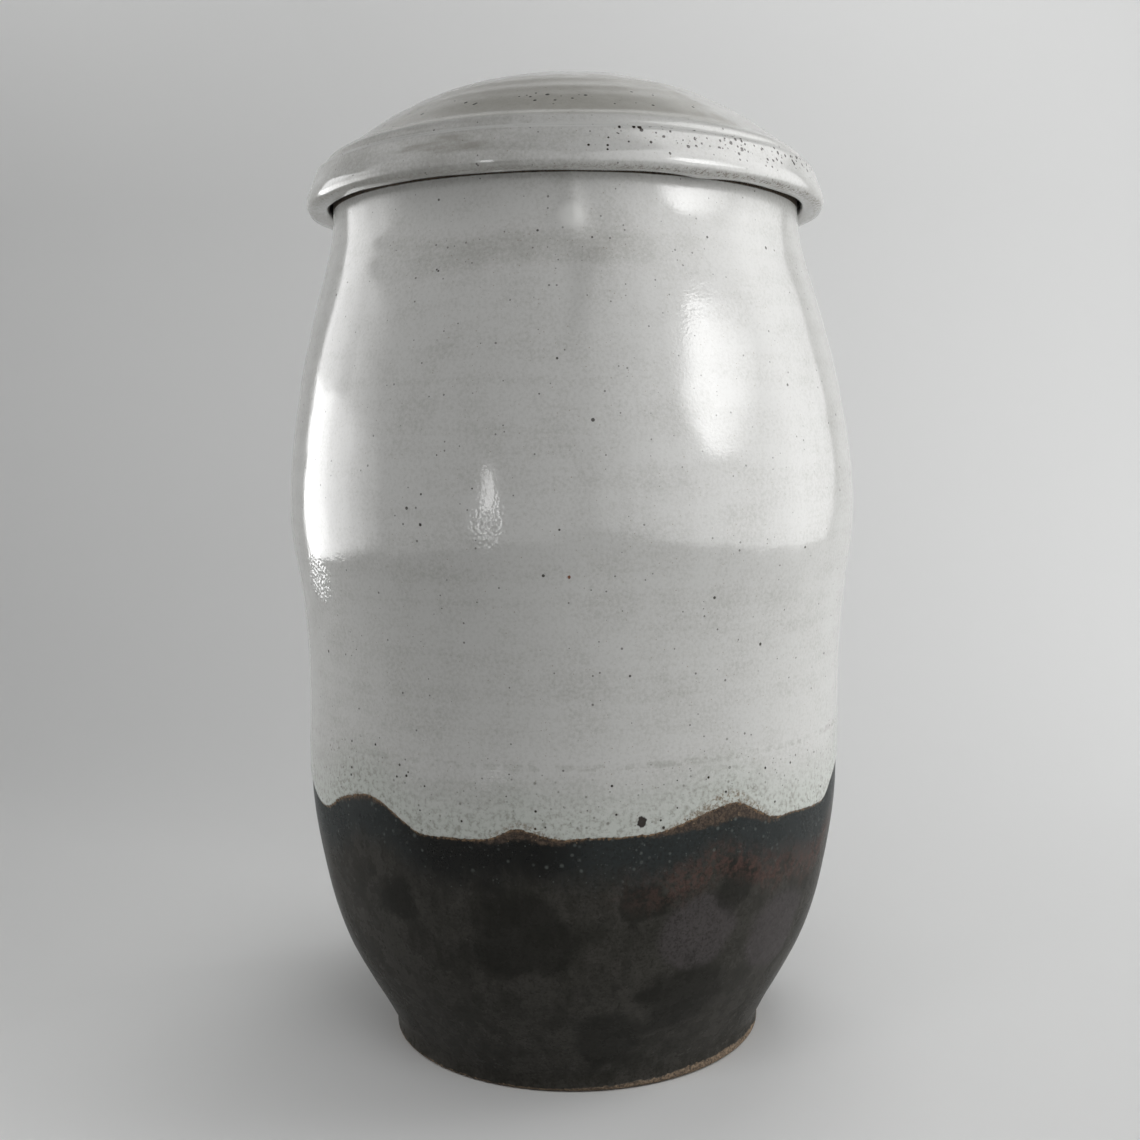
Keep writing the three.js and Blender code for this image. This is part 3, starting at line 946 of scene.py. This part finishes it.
def weight_material():
    """Thin speckled white glaze, and bare clay underneath."""
    s = Shader("weight_glaze")
    colour, rough, height = white_glaze(s, 0.3, 0.25)
    normal = s.add("NewGeometry").outputs["Normal"]
    upward = s.add("SeparateXYZ", None, Vector=normal).outputs[2]
    is_clay = s.ramp(upward, -0.75, -0.9)
    clay_colour, clay_height = bare_clay(s)
    colour = s.mix(is_clay, colour, clay_colour)
    rough = s.times_plus(is_clay, 0.5, s.plus(rough, 0.1))
    return s.finish(colour, rough, s.times_plus(is_clay, clay_height, height))


# ------------------------------------------------------------------ studio

def softbox(name, azimuth, distance, heights, width, radiance, shows):
    """An upright rectangular light that faces the pottery, keeps off the paper and isn't seen
    itself. Azimuth runs from the camera's side to the right. radiance is how bright its face is.
    shows is "matt" or "gloss", the part of a surface's answer that it acts on."""
    low, high = heights
    a = math.radians(azimuth)
    light = bpy.data.lights.new(name, "AREA")
    light.shape = "RECTANGLE"
    light.size, light.size_y = width, high - low
    light.energy = radiance * 4 * width * (high - low)
    lamp = bpy.data.objects.new(name, light)
    lamp.location = (distance * math.sin(a), -distance * math.cos(a), (low + high) / 2)
    lamp.rotation_euler = (math.pi / 2, 0, a)
    lamp.visible_camera = False
    lamp.visible_diffuse = shows == "matt"
    lamp.visible_glossy = shows == "gloss"
    lamp.light_linking.receiver_collection = pottery
    bpy.context.scene.collection.objects.link(lamp)
    return light


def make_sweep():
    """Pale paper: a floor that curves up into a back wall."""
    front, back, bend, top, half = -1.6, 0.85, 0.45, 2.4, 1.15
    turns = np.linspace(0, math.pi / 2, 25)
    arc = [(back - bend + bend * math.sin(t), bend - bend * math.cos(t)) for t in turns]
    profile = [(front, 0.0), (-0.6, 0.0), (0.0, 0.0), *arc, (back, top)]
    points = [(x, y, z) for y, z in profile for x in (-half, half)]
    faces = [(2 * k, 2 * k + 1, 2 * k + 3, 2 * k + 2) for k in range(len(profile) - 1)]
    mesh = bpy.data.meshes.new("paper_sweep")
    mesh.from_pydata(points, [], faces)
    mesh.shade_smooth()
    sweep = bpy.data.objects.new("paper_sweep", mesh)
    backdrop.objects.link(sweep)
    s = Shader("paper")
    mesh.materials.append(s.plain((0.785, 0.789, 0.785), 0.9))


def soft_window(name, starts, ends, distance, heights, radiance, layers, shape="RECTANGLE"):
    """A window seen only in the gloss, and brightest where the boxes that make it overlap. starts
    is the azimuth of the left edge of its first and last box, and ends that of the right edge."""
    for layer in range(layers):
        share = layer / (layers - 1)
        start = starts[0] + (starts[1] - starts[0]) * share
        end = ends[0] + (ends[1] - ends[0]) * share
        width = 2 * distance * math.tan(math.radians(abs(end - start) / 2))
        middle = (start + end) / 2
        box = softbox(
            f"{name}_{layer}", middle, distance, heights, width, radiance / layers, "gloss"
        )
        box.shape = shape


def wash(name, place, target, size, power, spread=180):
    """A light for the paper alone."""
    light = bpy.data.lights.new(name, "AREA")
    light.size = size
    light.energy = power
    light.spread = math.radians(spread)
    lamp = bpy.data.objects.new(name, light)
    lamp.location = place
    lamp.rotation_euler = (Vector(place) - Vector(target)).to_track_quat("Z", "Y").to_euler()
    lamp.visible_camera = False
    lamp.visible_glossy = False
    lamp.light_linking.receiver_collection = backdrop
    bpy.context.scene.collection.objects.link(lamp)


def light_room():
    """Dim white light from all round."""
    world = bpy.data.worlds.new("room")
    world.use_nodes = True
    background = world.node_tree.nodes["Background"]
    background.inputs["Color"].default_value = (1.0, 1.0, 1.0, 1)
    background.inputs["Strength"].default_value = 0.145
    bpy.context.scene.world = world


def light_pottery():
    """A bright wall and an oval window on the right, and a tall window and a lamp on the left."""
    softbox("right_wall", 77, 1.25, (0.02, 1.9), 3.75, 1.72, "matt")
    softbox("room_sheen", -50, 0.78, (0.01, 1.3), 1.86, 0.75, "gloss")
    soft_window("right_wall_sheen", (0, 42), (134, 98), 0.78, (0.015, 1.3), 3.0, layers=5)
    soft_window(
        "right_window", (43, 49), (82, 62), 1.08, (0.42, 0.85), 5.0, layers=4, shape="ELLIPSE"
    )
    soft_window("left_window", (-126, -126), (-76, -106), 0.72, (0.04, 0.36), 4.6, layers=5)
    soft_window("left_window_top", (-126, -126), (-80, -106), 0.72, (0.36, 0.60), 2.3, layers=5)
    softbox("left_daylight", -104, 1.1, (0.05, 1.2), 0.6, 3.8, "matt")
    softbox("left_lamp", -30.5, 1.0, (0.0, 0.34), 0.07, 6.0, "gloss")


def light_paper():
    """Soft pools of light that shade the floor and the back wall."""
    wash("right_wash", (0.85, 0.12, 0.5), (0.1, 0.4, 0.15), 0.7, 4.3)
    wash("top_wash", (0.25, 0.35, 1.25), (0.12, 0.85, 0.6), 0.5, 3.6)
    wash("top_left_wash", (-0.6, 0.35, 1.3), (-0.58, 0.85, 0.78), 0.4, 0.6, spread=80)
    wash("left_wash", (-0.25, -0.35, 0.35), (-0.21, -0.12, 0), 0.15, 0.16, spread=90)
    wash("front_wash", (0.05, -0.36, 0.34), (0.05, -0.12, 0), 0.25, 0.45)


def place_camera():
    """A normal lens close by, looking slightly down."""
    camera = bpy.data.cameras.new("camera")
    camera.sensor_width = 36
    camera.lens = 42.0
    eye = bpy.data.objects.new("camera", camera)
    look_down, roll = math.radians(5.19), math.radians(0.87)
    place = (-0.0002, -0.4741, 0.2052)
    eye.matrix_world = (
        Matrix.Translation(place)
        @ Matrix.Rotation(math.pi / 2 - look_down, 4, "X")
        @ Matrix.Rotation(-roll, 4, "Z")
    )
    bpy.context.scene.collection.objects.link(eye)
    bpy.context.scene.camera = eye


# ------------------------------------------------------------------ the object

pottery = bpy.data.collections.new("pottery")
backdrop = bpy.data.collections.new("backdrop")
for group in (pottery, backdrop):
    bpy.context.scene.collection.children.link(group)
wall_outline = split_crock(rounded(cad_section("crock", CROCK_SLICE)))[1]

crock = make_crock()
crock.data.materials.append(crock_material())
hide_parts("crock")
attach(crock, "crock")

lid = make_lid()
lid.data.materials.append(lid_material())
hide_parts("lid")
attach(lid, "lid")

weight_finish = weight_material()
for seed, side in enumerate(("weight_left", "weight_right")):
    weight = make_weight(side, 70 + seed)
    weight.data.materials.append(weight_finish)
    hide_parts(side)
    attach(weight, side)

make_sweep()
light_room()
light_pottery()
light_paper()
place_camera()
bpy.context.scene.view_settings.view_transform = "Standard"
